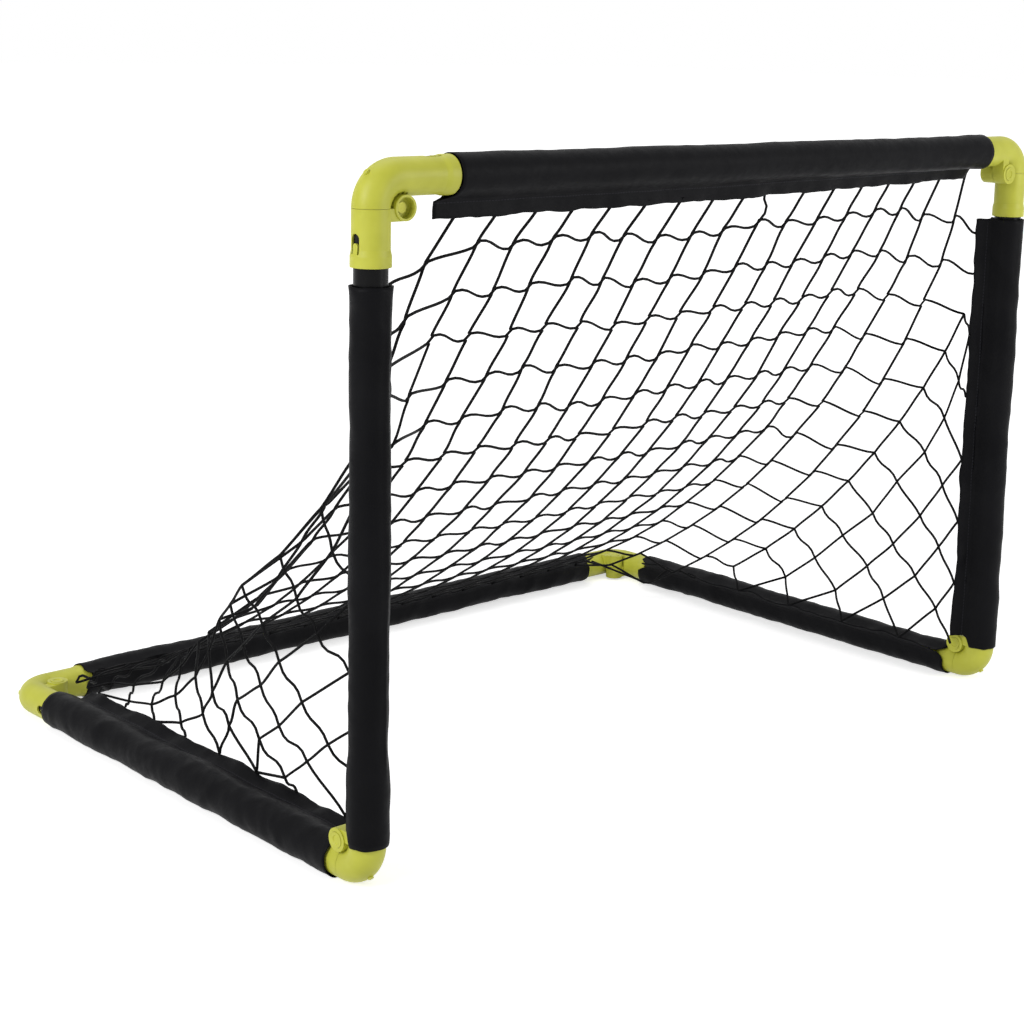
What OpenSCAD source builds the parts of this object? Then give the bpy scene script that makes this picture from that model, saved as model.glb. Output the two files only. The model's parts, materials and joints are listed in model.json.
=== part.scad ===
// Folding hockey goal: two U-shaped tube frames, six hinged corner joints, fabric sleeves and a net.
// +X runs along the crossbar, +Y from the mouth to the rear rail, +Z up from the floor.

/* [Frame] */
// Width of the mouth between the post axes
mouth_w = 880; // [780:10:1100]
// Height of the crossbar axis above the rail axes
mouth_h = 585; // [540:5:640]
// Depth from the post axes to the rear rail axis
goal_d = 590; // [560:5:660]
// Outside diameter of the frame tube
tube_d = 28.6; // [28.4:0.1:28.7]
// Wall of the frame tube
tube_wall = 1.2; // [0.9:0.1:2]

/* [Corner joint] */
// Outside radius of a corner socket
leg_r = 16; // [15.8:0.1:16.2]
// Outside radius of the thickened socket mouth
mouth_r = 17; // [16.6:0.1:17]
// Length of the bent half's socket, from the corner point
bend_leg = 80; // [74:1:90]
// Length of the straight half's socket, from the corner point
collar_leg = 71; // [66:1:78]
// Distance of the hinge axis from both tube axes
pivot = 24; // [23.5:0.1:24.5]
// Outside radius of the hinge barrel
barrel_r = 10.6; // [10.4:0.1:10.8]
// Half the length of the hinge barrel
barrel_half = 15; // [14.8:0.1:15.2]
// Travel of the lock button
button_travel = 4; // [3:0.5:4]
// Number of index teeth round the barrel
index_teeth = 16; // [12:1:20]

/* [Sleeves] */
// Outside radius of the fabric sleeves
sleeve_r = 17.9; // [17.7:0.1:18.2]
// Depth of the flat that the sleeves press against the floor
floor_flat = 0.5; // [0.3:0.1:0.8]
// Width of the hem that carries the net
hem_w = 19; // [14:1:24]

/* [Net] */
// Openings of the back net across the goal
net_columns = 14; // [10:1:16]
// Openings of the back net down the slope
net_rows = 13; // [10:1:14]
// How far the middle of the back net swells out past its edges
net_swell = 54; // [0:2:60]
// Depth of one diamond of the side panels
mesh_w = 75; // [70:1:90]
// Height of one diamond of the side panels
mesh_h = 70; // [66:1:90]
// Width of a net strand
strand_w = 3.2; // [2.4:0.2:5]
// Thickness of the net panels
net_t = 2.4; // [1.6:0.2:2.6]

/* [Hidden] */
$fn = 64;

lime = [0.76, 0.78, 0.29];
black_tube = [0.07, 0.07, 0.08];
black_fabric = [0.13, 0.13, 0.14];
black_cord = [0.05, 0.05, 0.05];
steel = [0.7, 0.7, 0.72];

tube_r = tube_d / 2;
rail_z = sleeve_r - floor_flat;
socket_stop = 40;
side_x = mouth_w / 2;

// A corner is [corner point, direction of the bent half, direction of the straight half].
X = [1, 0, 0];
Y = [0, 1, 0];
Z = [0, 0, 1];
TOP_LEFT = [[-side_x, 0, mouth_h], X, -Z];
TOP_RIGHT = [[side_x, 0, mouth_h], -X, -Z];
FRONT_LEFT = [[-side_x, 0, 0], Z, Y];
FRONT_RIGHT = [[side_x, 0, 0], Z, Y];
REAR_LEFT = [[-side_x, goal_d, 0], -Y, X];
REAR_RIGHT = [[side_x, goal_d, 0], -X, -Y];

// Hinge: the two halves meet at the mid-plane of the barrel.
half_gap = 0.2;
seam_gap = 0.15;
relief_r = barrel_r + 2.2;
index_rib_r = barrel_r + 0.4;
index_rib_w = 1.3;
ring_bore_r = 8.9;
lip_bore_r = 7.2;
lip_t = 2.5;
cup_recess_r = 8.7;
web_z0 = -8;
web_z1 = -6.5;
gusset_in = 8;
gusset_half = 13.5;

// Lock: a splined hub slides on the hinge rivet and its outer end is the push button.
hub_r = 6.9;
hub_flange_r = 8.3;
spline_count = 8;
spline_w = 2.4;
spline_tip_r = 8.2;
hub_z0 = -2.2;
spline_z1 = 2.6;
ledge_z0 = 4.7;
ledge_z1 = 6.4;
hub_top = barrel_half + 0.4;
head_cavity_r = 4.3;
spring_cavity_r = 5.9;
fit_gap = 0.05;
slide_gap = 0.25;
pin_r = 2.5;
pin_head_r = 3.6;
rivet_head_r = 4.6;
head_t = 1.4;

// Coil spring round the rivet
spring_r = 4.4;
spring_wire_r = 0.6;
spring_turns = 5;
spring_sides = 6;
spring_rings = 8;

// Snap window in each socket
window_near = 10.7;
window_far = 27.4;
window_half_w = 4.6;
tongue_half_w = 2.9;
tongue_l = 9;

// Sleeve ends, measured from the corner points
post_sleeve_foot = 25;
left_post_sleeve_top = 86;
right_post_sleeve_top = 74;
rail_sleeve_end = 36.5;
crossbar_sleeve_left = bend_leg + 1;
crossbar_sleeve_right = 60;

// Slope of the back net, from the crossbar down to the rear rail, as points across the depth.
slope = [
    [6, mouth_h - 18.5],
    [0.044 * goal_d, 0.863 * mouth_h],
    [0.098 * goal_d, 0.71 * mouth_h],
    [0.186 * goal_d, 0.547 * mouth_h],
    [0.314 * goal_d, 0.39 * mouth_h],
    [0.475 * goal_d, 0.248 * mouth_h],
    [0.678 * goal_d, 0.123 * mouth_h],
    [goal_d - 8, 17]
];
slope_last = len(slope) - 2;
slope_l = run_before(slope_last + 1);
slope_y = [for (k = [0:slope_last + 1]) [run_before(k), slope[k][0]]];
slope_z = [for (k = [0:slope_last + 1]) [run_before(k), slope[k][1]]];
slope_probe = 20;
shoulder = 8;
net_edge = 4;
net_clear = sleeve_r + 0.5;
net_foot = sleeve_r - 0.4;
net_heel = 58;
side_step = 0.9;
top_inset = 60;

function run(k) = norm(slope[k + 1] - slope[k]);
function run_before(k) = k == 0 ? 0 : run_before(k - 1) + run(k - 1);
function left_normal(a, b) = let (d = b - a) [-d[1], d[0]] / norm(d);
function inset(p, d) = [
    for (i = [0:len(p) - 1])
        let (
            n1 = left_normal(p[(i + len(p) - 1) % len(p)], p[i]),
            n2 = left_normal(p[i], p[(i + 1) % len(p)])
        )
        p[i] + d * (n1 + n2) / (1 + n1 * n2)
];

// Stands the goal on the floor with the middle of its depth at the origin.
module goal() {
    translate([0, -goal_d / 2, rail_z]) children();
}

// Puts a corner's own frame in place: x along the bent half, y along the straight half.
module at_corner(corner) {
    b = corner[1];
    c = corner[2];
    n = cross(b, c);
    p = corner[0];
    goal()
        multmatrix([
            [b[0], c[0], n[0], p[0]],
            [b[1], c[1], n[1], p[1]],
            [b[2], c[2], n[2], p[2]]
        ])
            children();
}

module between(a, b) {
    d = b - a;
    goal()
        translate(a)
            rotate(d[0] != 0 ? [0, 90, 0] : d[1] != 0 ? [-90, 0, 0] : [0, 0, 0])
                children();
}

// ---- frame tubes ----

module tube(a, b) {
    l = norm(b - a);
    color(black_tube)
        between(a, b)
            difference() {
                cylinder(r = tube_r, h = l);
                translate([0, 0, -1]) cylinder(r = tube_r - tube_wall, h = l + 2);
            }
}

module crossbar_tube() {
    tube([-side_x + socket_stop, 0, mouth_h], [side_x - socket_stop, 0, mouth_h]);
}

module post_tube(side) {
    tube([side * side_x, 0, socket_stop], [side * side_x, 0, mouth_h - socket_stop]);
}

module rail_tube(side) {
    tube([side * side_x, socket_stop, 0], [side * side_x, goal_d - socket_stop, 0]);
}

module rear_rail_tube() {
    tube([-side_x + socket_stop, goal_d, 0], [side_x - socket_stop, goal_d, 0]);
}

// ---- fabric sleeves ----

// A loose sleeve: it lies on the tube in the middle and swallows a socket end at start and finish.
module sleeve(l, over_start, over_end) {
    difference() {
        cylinder(r = sleeve_r, h = l);
        translate([0, 0, -1]) cylinder(r = tube_r, h = l + 2);
        if (over_start > 0) translate([0, 0, -1]) cylinder(r = mouth_r, h = over_start + 1);
        if (over_end > 0) translate([0, 0, l - over_end]) cylinder(r = mouth_r, h = over_end + 1);
    }
}

module crossbar_sleeve() {
    l = mouth_w - crossbar_sleeve_left - crossbar_sleeve_right;
    color(black_fabric)
        between([-side_x + crossbar_sleeve_left, 0, mouth_h], [side_x, 0, mouth_h])
            sleeve(l, 0, bend_leg - crossbar_sleeve_right);
}

module post_sleeve(side, top) {
    l = mouth_h - top - post_sleeve_foot;
    color(black_fabric)
        difference() {
            between([side * side_x, 0, post_sleeve_foot], [side * side_x, 0, mouth_h])
                sleeve(l, bend_leg - post_sleeve_foot, 0);
            goal()
                translate([side * side_x - sleeve_r - 1, gusset_in - 0.2, 0])
                    cube([2 * sleeve_r + 2, 2 * sleeve_r, pivot + barrel_r + 2.4]);
        }
}

module floor_cut() {
    translate([-mouth_w, -goal_d, -2 * sleeve_r]) cube([2 * mouth_w, 2 * goal_d, 2 * sleeve_r]);
}

module rail_sleeve(side) {
    l = goal_d - 2 * rail_sleeve_end;
    color(black_fabric)
        difference() {
            between([side * side_x, rail_sleeve_end, 0], [side * side_x, goal_d, 0])
                sleeve(l, collar_leg - rail_sleeve_end, bend_leg - rail_sleeve_end);
            floor_cut();
        }
}

module rear_rail_sleeve() {
    l = mouth_w - 2 * rail_sleeve_end;
    color(black_fabric)
        difference() {
            between([-side_x + rail_sleeve_end, goal_d, 0], [side_x, goal_d, 0])
                sleeve(l, collar_leg - rail_sleeve_end, bend_leg - rail_sleeve_end);
            floor_cut();
        }
}

// ---- corner joint ----

// A socket along +Z from z0 to its thickened mouth.
module socket_shell(z0, l) {
    translate([0, 0, z0]) cylinder(r = leg_r, h = l - z0);
    translate([0, 0, l - 14]) cylinder(r1 = leg_r, r2 = mouth_r, h = 5);
    translate([0, 0, l - 9]) cylinder(r = mouth_r, h = 9);
}

module socket_bore(l) {
    translate([0, 0, socket_stop]) cylinder(r = tube_r, h = l);
}

// Arched window with a sprung tongue, cut through a socket wall on its -X side.
module snap_window(l) {
    round_z = l - window_far + window_half_w;
    tongue_z = l - window_near - tongue_l + tongue_half_w;
    rotate([0, -90, 0])
        linear_extrude(height = mouth_r + 1)
            difference() {
                union() {
                    translate([round_z, 0]) circle(r = window_half_w);
                    translate([round_z, -window_half_w])
                        square([l - window_near - round_z, 2 * window_half_w]);
                }
                translate([tongue_z, 0]) circle(r = tongue_half_w);
                translate([tongue_z, -tongue_half_w])
                    square([l - window_near - tongue_z + 1, 2 * tongue_half_w]);
            }
}

// The space that the other half's barrel turns in, with index teeth standing into it.
module barrel_relief(z0, z1) {
    translate([pivot, pivot, z0])
        linear_extrude(height = z1 - z0)
            difference() {
                circle(r = relief_r);
                for (i = [0:index_teeth - 1])
                    rotate((i + 0.5) * 360 / index_teeth)
                        translate([index_rib_r, -index_rib_w / 2])
                            square([relief_r, index_rib_w]);
            }
}

// Bent half: a 90 degree elbow with the ring that holds the button.
module bend(corner) {
    color(lime)
        at_corner(corner)
            difference() {
                union() {
                    translate([pivot, pivot, 0])
                        rotate([0, 0, 180])
                            rotate_extrude(angle = 90, $fn = 96)
                                translate([pivot, 0]) circle(r = leg_r);
                    rotate([0, 90, 0]) socket_shell(pivot - 0.01, bend_leg);
                    // moulded nub on the outside of the elbow
                    translate([pivot, pivot, 0])
                        rotate([0, 0, 225])
                            rotate([0, 90, 0])
                                cylinder(r = 2.6, h = pivot + leg_r + 1.6);
                    // gusset from the socket to the ring
                    translate([pivot + seam_gap, gusset_in, half_gap])
                        cube([barrel_r - seam_gap, pivot - gusset_in, gusset_half]);
                }
                barrel_relief(-leg_r - 2, half_gap);
                translate([-leg_r - 1, pivot - seam_gap, -leg_r - 1])
                    cube([pivot + leg_r + 1, 1, 2 * leg_r + 2]);
                // clears the ring so that it can be added whole
                translate([pivot, pivot, half_gap - 1]) cylinder(r = barrel_r - 0.4, h = leg_r + 2);
                rotate([0, 90, 0]) rotate([0, 0, 90]) socket_bore(bend_leg);
                rotate([0, 90, 0]) rotate([0, 0, 90]) snap_window(bend_leg);
            }
    color(lime)
        at_corner(corner)
            translate([pivot, pivot, 0])
                difference() {
                    translate([0, 0, half_gap]) cylinder(r = barrel_r, h = barrel_half - half_gap);
                    cylinder(r = ring_bore_r, h = barrel_half - lip_t);
                    cylinder(r = lip_bore_r, h = barrel_half + 1);
                }
}

// Straight half: a socket with the cup that the rivet and the hub sit in.
module collar(corner) {
    color(lime)
        at_corner(corner) {
            difference() {
                union() {
                    rotate([-90, 0, 0]) socket_shell(pivot + seam_gap, collar_leg);
                    translate([gusset_in, pivot + seam_gap, -gusset_half - half_gap])
                        cube([pivot - gusset_in, barrel_r - seam_gap, gusset_half]);
                }
                barrel_relief(-half_gap, leg_r + 2);
                translate([pivot, pivot, -leg_r - 2]) cylinder(r = barrel_r - 0.4, h = leg_r + 2);
                rotate([-90, 0, 0]) socket_bore(collar_leg);
                rotate([-90, 0, 0]) snap_window(collar_leg);
            }
            translate([pivot, pivot, 0])
                difference() {
                    translate([0, 0, -barrel_half]) cylinder(r = barrel_r, h = barrel_half - half_gap);
                    translate([0, 0, -barrel_half - 1])
                        cylinder(r = cup_recess_r, h = barrel_half + 1 + web_z0);
                    translate([0, 0, -barrel_half]) cylinder(r = pin_r, h = barrel_half + 1);
                    translate([0, 0, web_z1])
                        linear_extrude(height = barrel_half)
                            spline_outline(hub_r + slide_gap, spline_tip_r + slide_gap, spline_w + 0.4);
                }
        }
}

module spline_outline(root, tip, w) {
    circle(r = root);
    for (i = [0:spline_count - 1])
        rotate(i * 360 / spline_count)
            translate([0, -w / 2])
                square([tip, w]);
}

// Rivet: it ties the cup's web to the ledge inside the hub and is the hinge's axle.
module pin(corner) {
    color(steel)
        at_corner(corner)
            translate([pivot, pivot, 0]) {
                translate([0, 0, web_z0 - head_t]) cylinder(r = rivet_head_r, h = head_t);
                translate([0, 0, web_z0 - 0.1]) cylinder(r = pin_r, h = ledge_z1 - web_z0 + 0.4);
                translate([0, 0, ledge_z1 + 0.2]) cylinder(r = pin_head_r, h = head_t);
            }
}

// Button: the round face that is pressed, with the splined hub behind it.
module button(corner) {
    color(lime)
        at_corner(corner)
            translate([pivot, pivot, 0])
                difference() {
                    union() {
                        translate([0, 0, hub_z0]) cylinder(r = hub_r, h = hub_top - hub_z0);
                        translate([0, 0, hub_z0])
                            linear_extrude(height = spline_z1 - hub_z0)
                                spline_outline(hub_r, spline_tip_r, spline_w);
                        translate([0, 0, barrel_half - lip_t - 3])
                            cylinder(r = hub_flange_r, h = 2.8);
                    }
                    translate([0, 0, hub_z0 - 1])
                        cylinder(r = spring_cavity_r, h = ledge_z0 - hub_z0 + 1);
                    cylinder(r = pin_r + fit_gap, h = ledge_z1 + 1);
                    translate([0, 0, ledge_z1])
                        cylinder(r = head_cavity_r, h = head_t + button_travel + 0.6);
                    // shallow dish for the fingertip
                    translate([0, 0, hub_top - 0.8]) cylinder(r1 = 3.6, r2 = 4.6, h = 1);
                }
}

function spring_point(t) = [
    spring_r * cos(360 * spring_turns * t),
    spring_r * sin(360 * spring_turns * t),
    spring_low + (spring_high - spring_low) * t
];
spring_low = web_z1 + spring_wire_r + 0.05;
spring_high = ledge_z0 - spring_wire_r - 0.35;

module spring(corner) {
    rings = spring_turns * spring_rings;
    ring_points = [
        for (i = [0:rings])
            let (p = spring_point(i / rings), a = 360 * spring_turns * i / rings)
            for (s = [0:spring_sides - 1])
                let (q = 360 * s / spring_sides)
                p + spring_wire_r * (cos(q) * [cos(a), sin(a), 0] + sin(q) * [0, 0, 1])
    ];
    sides = [
        for (i = [0:rings - 1], s = [0:spring_sides - 1])
            let (
                a = i * spring_sides + s,
                b = i * spring_sides + (s + 1) % spring_sides,
                up = spring_sides
            )
            each [[a, b, b + up], [a, b + up, a + up]]
    ];
    first = [for (s = [1:spring_sides - 2]) [0, s + 1, s]];
    e = rings * spring_sides;
    last = [for (s = [1:spring_sides - 2]) [e, e + s, e + s + 1]];
    color(steel)
        at_corner(corner)
            translate([pivot, pivot, 0])
                polyhedron(points = ring_points, faces = concat(sides, first, last));
}

// ---- net ----

// The back net as a surface: u runs across it from -1 to 1, and s is the way down its edge.
function slope_at(s) = [lookup(s, slope_y), lookup(s, slope_z)];
function slope_normal(s) =
    left_normal(slope_at(max(s - slope_probe, 0)), slope_at(min(s + slope_probe, slope_l)));
// the top is narrower than the goal, which clears the corner joints
function net_half(s) = side_x - top_inset * max(0, 1 - max(0, s - hem_w) / run(0));
// the middle hangs out and the shoulders come down steeply to both edges
function swell(u, s) = net_swell * sin(180 * pow(s / slope_l, 0.8)) * (1 - pow(abs(u), shoulder));
function net_point(u, s, t) =
    let (p = slope_at(s) + (swell(u, s) + t) * slope_normal(s))
    [u * net_half(s), p[0], p[1]];

// One sheet in two layers, with an opening in each cell of its grid.
module back_net() {
    columns = net_columns;
    rows = net_rows;
    in = strand_w / 2;
    us = [for (i = [0:columns]) 2 * i / columns - 1];
    ss = [for (j = [0:rows]) slope_l * j / rows];
    // where the openings of a column or a row start (side 0) and end (side 1)
    function gap_u(i, side) =
        let (half = net_half(ss[1]), edge = i + side == 0 || i + side == columns)
        us[i + side] + (side == 0 ? 1 : -1) * (edge ? net_edge : in) / half;
    function gap_s(j, side) =
        let (first = j + side == 0, last = j + side == rows)
        ss[j + side] + (side == 0 ? 1 : -1) * (first ? hem_w : last ? net_edge : in);
    corners = [[0, 0], [1, 0], [1, 1], [0, 1]];
    grid_count = (columns + 1) * (rows + 1);
    layer_count = grid_count + 4 * columns * rows;
    points = [
        for (t = [-net_t / 2, net_t / 2])
            each concat(
                [for (s = ss, u = us) net_point(u, s, t)],
                [for (j = [0:rows - 1], i = [0:columns - 1], c = corners)
                    net_point(gap_u(i, c[0]), gap_s(j, c[1]), t)]
            )
    ];
    function outer(t, i, j, c) =
        t * layer_count + (j + corners[c % 4][1]) * (columns + 1) + i + corners[c % 4][0];
    function inner(t, i, j, c) = t * layer_count + grid_count + 4 * (j * columns + i) + c % 4;
    function quad(a, b, c, d) = [[a, b, c], [a, c, d]];
    // each strand's two faces, and the walls of each opening
    strands = [
        for (j = [0:rows - 1], i = [0:columns - 1], c = [0:3])
            each concat(
                quad(outer(0, i, j, c), outer(0, i, j, c + 1), inner(0, i, j, c + 1), inner(0, i, j, c)),
                quad(inner(1, i, j, c), inner(1, i, j, c + 1), outer(1, i, j, c + 1), outer(1, i, j, c)),
                quad(inner(0, i, j, c), inner(0, i, j, c + 1), inner(1, i, j, c + 1), inner(1, i, j, c))
            )
    ];
    border = [
        for (i = [0:columns - 1]) each [[i, 0, 0], [i, rows - 1, 2]],
        for (j = [0:rows - 1]) each [[0, j, 3], [columns - 1, j, 1]]
    ];
    rim = [
        for (b = border)
            each quad(outer(0, b[0], b[1], b[2] + 1), outer(0, b[0], b[1], b[2]),
                outer(1, b[0], b[1], b[2]), outer(1, b[0], b[1], b[2] + 1))
    ];
    color(black_cord)
        goal() polyhedron(points = points, faces = concat(strands, rim));
}

// One diamond opening, drawn in from the strand centre lines by half a strand.
module mesh_gap() {
    a = mesh_w / 2;
    b = mesh_h / 2;
    k = 1 - strand_w / 2 * norm([a, b]) / (a * b);
    polygon([[a * k, 0], [0, b * k], [-a * k, 0], [0, -b * k]]);
}

// Diamond openings over x0..x1 and v0..v1, in staggered rows.
module mesh_gaps(x0, x1, v0, v1) {
    row = mesh_h / 2;
    for (j = [floor(v0 / row):ceil(v1 / row)])
        for (i = [floor(x0 / mesh_w) - 1:ceil(x1 / mesh_w)])
            translate([(i + (j % 2 == 0 ? 0 : 0.5)) * mesh_w, j * row])
                mesh_gap();
}

// Outline of a side panel in depth and height: sleeve tops, slope, and the back of the post.
side_outline = concat(
    [[net_heel, net_foot], [goal_d - 34, net_foot]],
    [for (k = [slope_last:-1:1]) slope[k] - [side_step, side_step]],
    [[net_clear, 0.895 * mouth_h], [net_clear, net_heel]]
);

module side_net(side) {
    color(black_cord)
        goal()
            translate([side * side_x, 0, 0])
                rotate([90, 0, 90])
                    translate([0, 0, -net_t / 2])
                        linear_extrude(height = net_t)
                            difference() {
                                polygon(side_outline);
                                intersection() {
                                    polygon(inset(side_outline, net_edge));
                                    translate([0, net_foot + 14]) square([goal_d, mouth_h]);
                                    mesh_gaps(0, goal_d, 0, mouth_h);
                                }
                            }
}

crossbar_tube();
post_tube(-1);  // left_post_tube
post_tube(1);  // right_post_tube
rail_tube(-1);  // left_rail_tube
rail_tube(1);  // right_rail_tube
rear_rail_tube();
crossbar_sleeve();
post_sleeve(-1, left_post_sleeve_top);  // left_post_sleeve
post_sleeve(1, right_post_sleeve_top);  // right_post_sleeve
rail_sleeve(-1);  // left_rail_sleeve
rail_sleeve(1);  // right_rail_sleeve
rear_rail_sleeve();
bend(TOP_LEFT);  // top_left_bend
collar(TOP_LEFT);  // top_left_collar
pin(TOP_LEFT);  // top_left_pin
button(TOP_LEFT);  // top_left_button
spring(TOP_LEFT);  // top_left_spring
bend(TOP_RIGHT);  // top_right_bend
collar(TOP_RIGHT);  // top_right_collar
pin(TOP_RIGHT);  // top_right_pin
button(TOP_RIGHT);  // top_right_button
spring(TOP_RIGHT);  // top_right_spring
bend(FRONT_LEFT);  // front_left_bend
collar(FRONT_LEFT);  // front_left_collar
pin(FRONT_LEFT);  // front_left_pin
button(FRONT_LEFT);  // front_left_button
spring(FRONT_LEFT);  // front_left_spring
bend(FRONT_RIGHT);  // front_right_bend
collar(FRONT_RIGHT);  // front_right_collar
pin(FRONT_RIGHT);  // front_right_pin
button(FRONT_RIGHT);  // front_right_button
spring(FRONT_RIGHT);  // front_right_spring
bend(REAR_LEFT);  // rear_left_bend
collar(REAR_LEFT);  // rear_left_collar
pin(REAR_LEFT);  // rear_left_pin
button(REAR_LEFT);  // rear_left_button
spring(REAR_LEFT);  // rear_left_spring
bend(REAR_RIGHT);  // rear_right_bend
collar(REAR_RIGHT);  // rear_right_collar
pin(REAR_RIGHT);  // rear_right_pin
button(REAR_RIGHT);  // rear_right_button
spring(REAR_RIGHT);  // rear_right_spring
back_net();
side_net(-1);  // left_side_net
side_net(1);  // right_side_net
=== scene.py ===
"""Looks of a folding hockey goal: the finish of its frame, its sewn sleeves and its knotless net."""
import json
import math
import random

import bpy
import numpy as np
from mathutils import Matrix, Vector, noise

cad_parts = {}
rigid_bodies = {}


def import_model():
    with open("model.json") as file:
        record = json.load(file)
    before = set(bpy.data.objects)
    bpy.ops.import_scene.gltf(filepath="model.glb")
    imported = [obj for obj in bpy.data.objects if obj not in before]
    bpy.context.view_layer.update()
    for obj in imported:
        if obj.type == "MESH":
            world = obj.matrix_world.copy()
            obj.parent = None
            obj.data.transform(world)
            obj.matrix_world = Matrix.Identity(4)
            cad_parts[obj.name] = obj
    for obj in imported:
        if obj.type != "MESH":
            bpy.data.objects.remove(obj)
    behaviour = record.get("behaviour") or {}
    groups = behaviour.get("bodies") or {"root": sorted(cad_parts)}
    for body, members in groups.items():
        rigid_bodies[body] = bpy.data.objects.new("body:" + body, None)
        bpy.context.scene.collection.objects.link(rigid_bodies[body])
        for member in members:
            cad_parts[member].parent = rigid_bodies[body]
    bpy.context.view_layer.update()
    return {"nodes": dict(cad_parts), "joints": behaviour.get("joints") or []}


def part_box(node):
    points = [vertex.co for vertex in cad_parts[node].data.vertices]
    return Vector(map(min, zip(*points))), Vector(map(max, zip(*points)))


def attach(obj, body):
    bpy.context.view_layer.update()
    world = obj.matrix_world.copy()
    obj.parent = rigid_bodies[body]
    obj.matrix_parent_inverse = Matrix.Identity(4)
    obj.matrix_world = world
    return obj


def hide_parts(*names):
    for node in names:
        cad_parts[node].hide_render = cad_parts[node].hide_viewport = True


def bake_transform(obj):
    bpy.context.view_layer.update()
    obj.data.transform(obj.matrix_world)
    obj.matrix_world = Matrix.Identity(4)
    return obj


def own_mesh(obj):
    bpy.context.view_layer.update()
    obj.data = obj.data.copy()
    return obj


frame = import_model()

MM = 0.001


# ---- sizes, from the frame ----

def middle(part):
    low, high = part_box(part)
    return (low + high) / 2


HALF_W = middle("right_post_tube").x
MOUTH_Y = middle("right_post_tube").y
RAIL_Z = middle("rear_rail_tube").z
DEPTH = middle("rear_rail_tube").y - MOUTH_Y
HEIGHT = middle("crossbar_tube").z - RAIL_Z
SLEEVE_R = (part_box("crossbar_sleeve")[1].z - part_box("crossbar_sleeve")[0].z) / 2


def at(x, depth, height):
    """A point given by its depth behind the posts and its height above the rails' axis."""
    return Vector((x, MOUTH_Y + depth, RAIL_Z + height))


def clamp(value, low=0.0, high=1.0):
    return min(max(value, low), high)


def smooth(t):
    """A soft step from 0 to 1."""
    t = clamp(t)
    return t * t * (3 - 2 * t)


# ---- material helpers ----

def srgb(hex_colour):
    """An sRGB hex colour as linear RGBA."""
    parts = [int(hex_colour[i:i + 2], 16) / 255 for i in (1, 3, 5)]
    return [c / 12.92 if c <= 0.04045 else ((c + 0.055) / 1.055) ** 2.4 for c in parts] + [1.0]


def set_up(tree, made, settings=None, links=None):
    """Gives a node its settings, by attribute or input, and its links, by input.

    The two stops of a colour ramp are each a place with a colour or a grey level."""
    for key, value in (settings or {}).items():
        if key == "stops":
            for element, (place, colour) in zip(made.color_ramp.elements, value):
                element.position = place
                element.color = colour if isinstance(colour, list) else [colour] * 3 + [1.0]
        elif isinstance(key, str) and hasattr(made, key):
            setattr(made, key, value)
        else:
            made.inputs[key].default_value = value
    for key, source in (links or {}).items():
        tree.links.new(source, made.inputs[key])
    return made


def node(tree, kind, settings=None, links=None):
    """Adds a node with its settings and links."""
    return set_up(tree, tree.nodes.new(kind), settings, links)


def new_material(name):
    material = bpy.data.materials.new(name)
    material.use_nodes = True
    tree = material.node_tree
    return material, tree, tree.nodes["Principled BSDF"]


# ---- section of a sleeve ----

CLOTH_T = 0.5 * MM
CLOTH_R = SLEEVE_R - CLOTH_T / 2
# the cloth leaves the tube at this angle from the hem, and its two layers meet at SEAM_R
SEAM_ANGLE = math.radians(35)
SEAM_R = CLOTH_R / math.cos(SEAM_ANGLE)
HEM_TIP_R = 36 * MM
HEM_GAP = 0.45 * MM
# points along one layer of the hem, round the tube, and where the cloth runs between the two
HEM_POINTS, ROUND_POINTS, TANGENT_SHARES = 7, 64, (0.35, 0.7)
# the hem's ends take on their own length over this width, from the round part outward
HEM_STEP = 3.5 * MM
HEM_HALF = 4 * MM


def sleeve_profile():
    """Cloth round the tube as points (towards the hem, across it), from one hem edge to the other."""
    half = [(r, HEM_GAP) for r in np.linspace(HEM_TIP_R, SEAM_R, HEM_POINTS)]
    turn = np.linspace(SEAM_ANGLE, 2 * math.pi - SEAM_ANGLE, ROUND_POINTS)
    ring = [(CLOTH_R * math.cos(a), CLOTH_R * math.sin(a)) for a in turn]
    tangent = [(SEAM_R + (ring[0][0] - SEAM_R) * t, HEM_GAP + (ring[0][1] - HEM_GAP) * t)
               for t in TANGENT_SHARES]
    first = half + tangent
    return np.array(first + ring + [(x, -y) for x, y in reversed(first)])


def lengths_along(points):
    return np.concatenate([[0], np.cumsum(np.linalg.norm(np.diff(points, axis=0), axis=1))])


def outward(points):
    """The direction in which the cloth faces at each of these points."""
    tangents = np.gradient(points, axis=0)
    normals = np.stack([tangents[:, 1], -tangents[:, 0]], 1)
    return normals / np.linalg.norm(normals, axis=1)[:, None]


def past_round(points, width):
    """How far each point lies past the round part of the cloth: 0 on it, 1 from this width on."""
    return [smooth((p - CLOTH_R) / width) if abs(q) < HEM_HALF and p > 0 else 0.0 for p, q in points]


PROFILE = sleeve_profile()
AROUND = lengths_along(PROFILE)
FACING = outward(PROFILE)
IN_HEM = past_round(PROFILE, HEM_TIP_R - CLOTH_R)
PAST_SEAM = past_round(PROFILE, HEM_STEP)


# ---- materials ----

# lockstitch: how far into the hem, half the width of a row, a stitch with its gap, and half that gap
STITCH_IN, STITCH_HALF_W, STITCH_L, STITCH_GAP_HALF = 1.5 * MM, 0.45 * MM, 3.5 * MM, 0.5 * MM
HEM_WIDTH = HEM_TIP_R - SEAM_R
STITCH_ROWS = (HEM_WIDTH - STITCH_IN, AROUND[-1] - HEM_WIDTH + STITCH_IN)
# a wave texture of scale 1 repeats over this length
WAVE_L = 2 * math.pi / 20


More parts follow.
